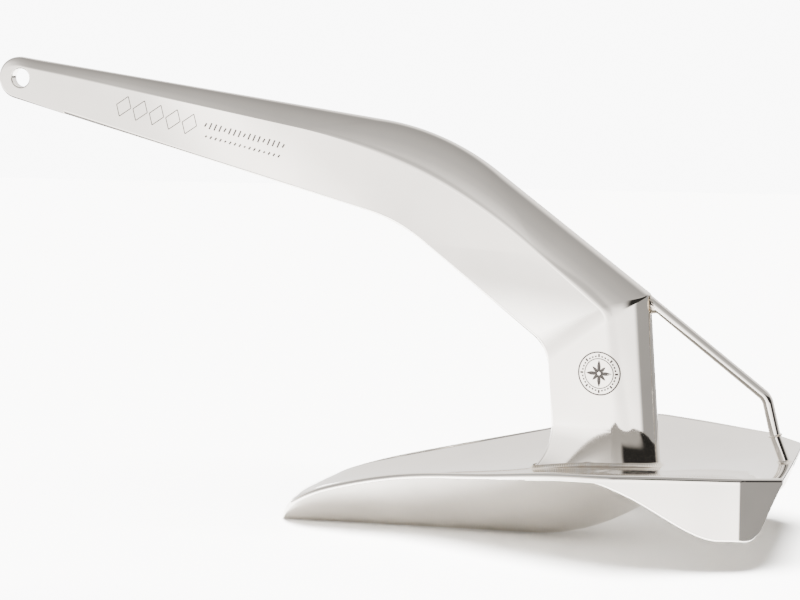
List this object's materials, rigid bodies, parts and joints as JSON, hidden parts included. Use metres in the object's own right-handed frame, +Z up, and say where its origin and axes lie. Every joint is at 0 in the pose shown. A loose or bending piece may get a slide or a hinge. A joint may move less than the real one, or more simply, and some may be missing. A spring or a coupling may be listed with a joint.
{
  "type": "fluke anchor",
  "caption": "Rigid welded fluke anchor with a bent hollow shank, a bored shackle eye, a concave weighted fluke with down-turned rear wings and a trip bar.",
  "frame": {"origin": "centre of the shackle eye, midway through its thickness, on the plane of symmetry", "axes": "+X from the shackle eye towards the fluke's rear edge, +Y across the anchor, +Z up with the anchor standing as it does when stowed upright"},
  "size_m": [1.0859, 0.4578, 0.6205],
  "materials": {
    "polished_steel": "mirror polished 316L stainless steel",
    "weld_steel": "polished weld bead, stainless steel",
    "lead": "cast lead, dull"
  },
  "bodies": {
    "root": {"fluke_beak": "polished_steel", "fluke_blade": "polished_steel", "crest_weld_right": "polished_steel", "crest_weld_left": "polished_steel", "keel_plate_right": "polished_steel", "keel_plate_left": "polished_steel", "chamber_stern_plate": "polished_steel", "lead_ballast": "lead", "wing_right": "polished_steel", "wing_left": "polished_steel", "shank_side_right": "polished_steel", "shank_side_left": "polished_steel", "shank_back_cover": "polished_steel", "shank_front_strip": "polished_steel", "shank_foot_weld": "weld_steel", "shank_eye_block": "polished_steel", "trip_bar": "polished_steel", "trip_bar_ring": "weld_steel", "trip_bar_foot": "polished_steel", "trip_bar_foot_weld": "weld_steel", "trip_bar_top_weld": "weld_steel"}
  },
  "joints": []
}
